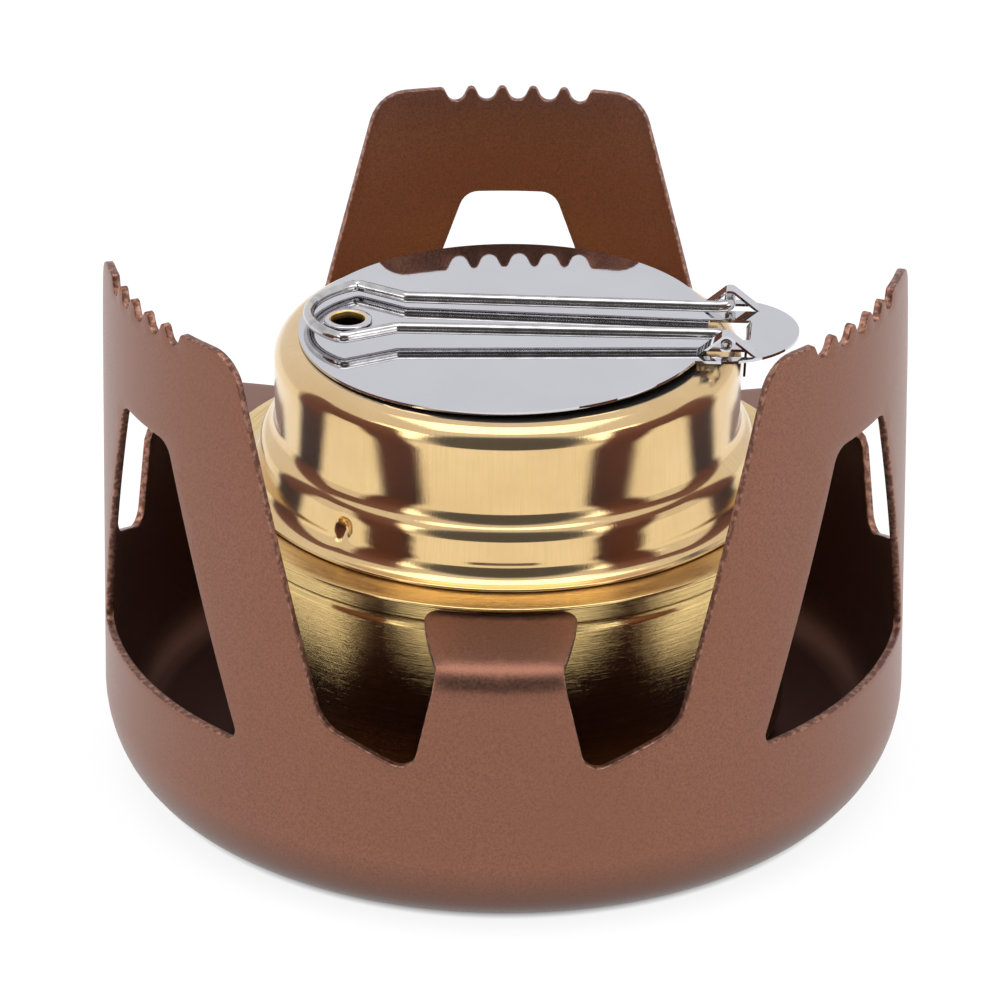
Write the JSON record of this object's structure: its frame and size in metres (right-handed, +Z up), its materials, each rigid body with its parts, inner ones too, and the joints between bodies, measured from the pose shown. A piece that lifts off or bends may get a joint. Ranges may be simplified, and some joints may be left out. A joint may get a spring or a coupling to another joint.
{
  "type": "alcohol spirit stove",
  "caption": "Sheet-metal pot stand with toothed towers, holding a brass alcohol burner with simmer ring, swivel lid and folding wire handle.",
  "frame": {"origin": "centre of the stand's flat underside", "axes": "+Z up along the stand's centre line, -Y towards the front, one tower at +Y, thumb tab towards +X"},
  "size_m": [0.1, 0.1, 0.0686],
  "materials": {
    "bronze_paint": "satin metallic bronze-brown paint, fine grain",
    "brushed_brass": "brass with turned brush marks",
    "polished_brass": "polished brass",
    "bright_steel": "mirror-bright stainless sheet",
    "steel_wire": "drawn stainless wire",
    "cotton": "undyed cotton"
  },
  "bodies": {
    "stand": {"pot_stand": "bronze_paint"},
    "burner": {"burner_cup": "brushed_brass", "burner_collar": "brushed_brass", "wick": "cotton"},
    "regulator": {"regulator_ring": "polished_brass", "pivot_eyelet": "bright_steel", "pivot_washer": "brushed_brass"},
    "damper": {"damper_plate": "bright_steel"},
    "handle": {"wire_handle": "steel_wire"}
  },
  "joints": [
    {"name": "burner_lift", "type": "slide", "parent": "stand", "child": "burner", "axis": [0, 0, 1], "range_m": [0, 0.08]},
    {"name": "regulator_lift", "type": "slide", "parent": "burner", "child": "regulator", "axis": [0, 0, 1], "range_m": [0, 0.03]},
    {"name": "damper_swivel", "type": "hinge", "parent": "regulator", "child": "damper", "pos_m": [-0.01926, 0.00164, 0.05575], "axis": [-0.015, 0.001, 0.9999], "range_deg": [-70, 44]},
    {"name": "handle_fold", "type": "hinge", "parent": "damper", "child": "handle", "pos_m": [0.02702, -0.00135, 0.0577], "axis": [0.0645, 0.9979, 0], "range_deg": [0, 145]}
  ]
}
